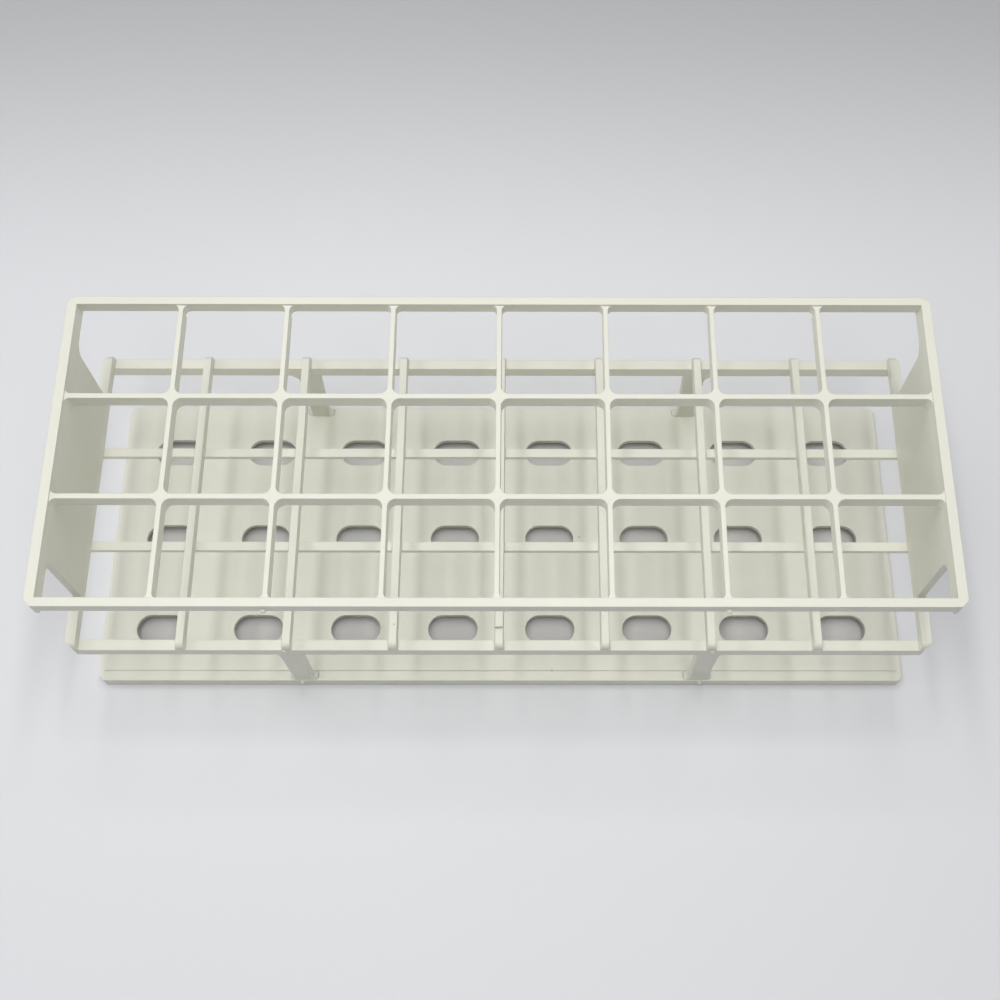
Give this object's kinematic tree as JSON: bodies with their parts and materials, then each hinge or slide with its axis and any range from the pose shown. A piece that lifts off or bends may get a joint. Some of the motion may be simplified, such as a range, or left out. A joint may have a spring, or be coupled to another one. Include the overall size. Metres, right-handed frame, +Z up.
{
  "type": "test tube rack",
  "caption": "Free-standing open plastic rack for wide test tubes, with levels of square openings above a slotted drain base.",
  "frame": {"origin": "centre of the underside, on the surface that the rack stands on, midway between the long rails (the moulding gate marks on the front face are not counted)", "axes": "+X along the rack's length, towards the right end panel; +Y from the front to the rear; +Z up"},
  "size_m": [0.295, 0.1125, 0.0898],
  "materials": {
    "ivory_plastic": "satin, finely textured moulded polypropylene, ivory white"
  },
  "bodies": {
    "root": {"top_grid": "ivory_plastic", "middle_grid": "ivory_plastic", "base_plate": "ivory_plastic", "left_end_panel": "ivory_plastic", "right_end_panel": "ivory_plastic", "front_left_leg": "ivory_plastic", "front_right_leg": "ivory_plastic", "rear_left_leg": "ivory_plastic", "rear_right_leg": "ivory_plastic"}
  },
  "joints": []
}
